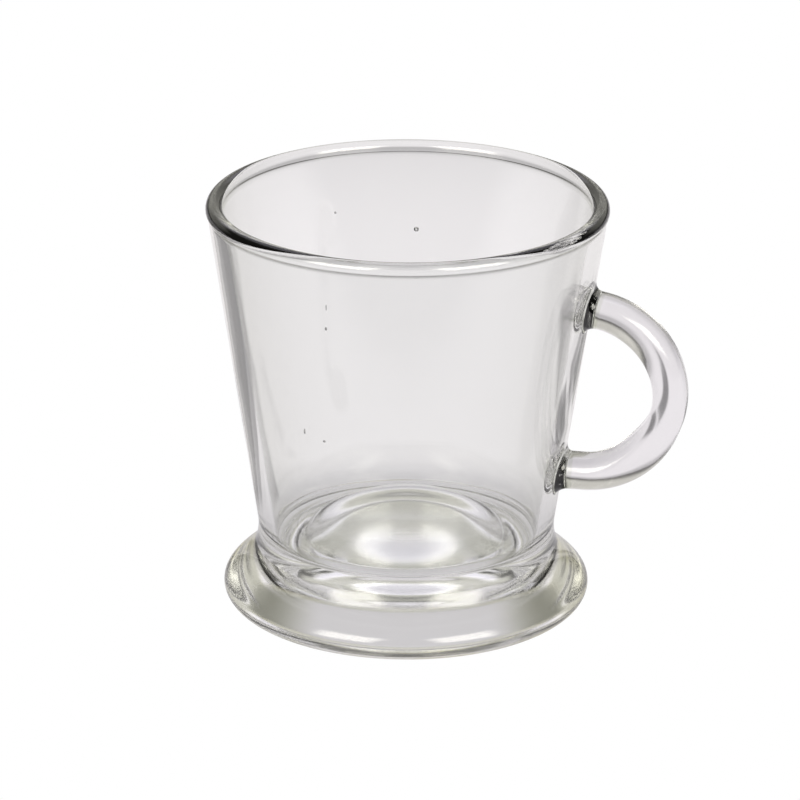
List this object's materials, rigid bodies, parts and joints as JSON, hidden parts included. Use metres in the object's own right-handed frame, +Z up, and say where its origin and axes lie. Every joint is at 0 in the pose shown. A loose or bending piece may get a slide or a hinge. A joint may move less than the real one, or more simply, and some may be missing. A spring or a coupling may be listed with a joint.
{
  "type": "glass mug",
  "caption": "Clear glass mug: conical bowl with a rounded rim on a flared foot with a domed hollow, and a C-shaped strap handle welded to its side for holding hot drinks.",
  "frame": {"origin": "on the mug's axis, in the plane of the flat ring that the foot rests on", "axes": "+Z up along the mug's axis, +X from the axis towards the handle"},
  "size_m": [0.111, 0.0916, 0.0975],
  "materials": {
    "bowl_glass": "clear fire-polished pressed glass",
    "foot_glass": "clear thick pressed glass with a faint green cast",
    "handle_glass": "clear smooth glass strap",
    "weld_glass": "clear fused glass with a fillet all round"
  },
  "bodies": {
    "root": {"bowl": "bowl_glass", "foot": "foot_glass", "handle": "handle_glass", "upper_handle_pad": "weld_glass", "lower_handle_pad": "weld_glass"}
  },
  "joints": []
}
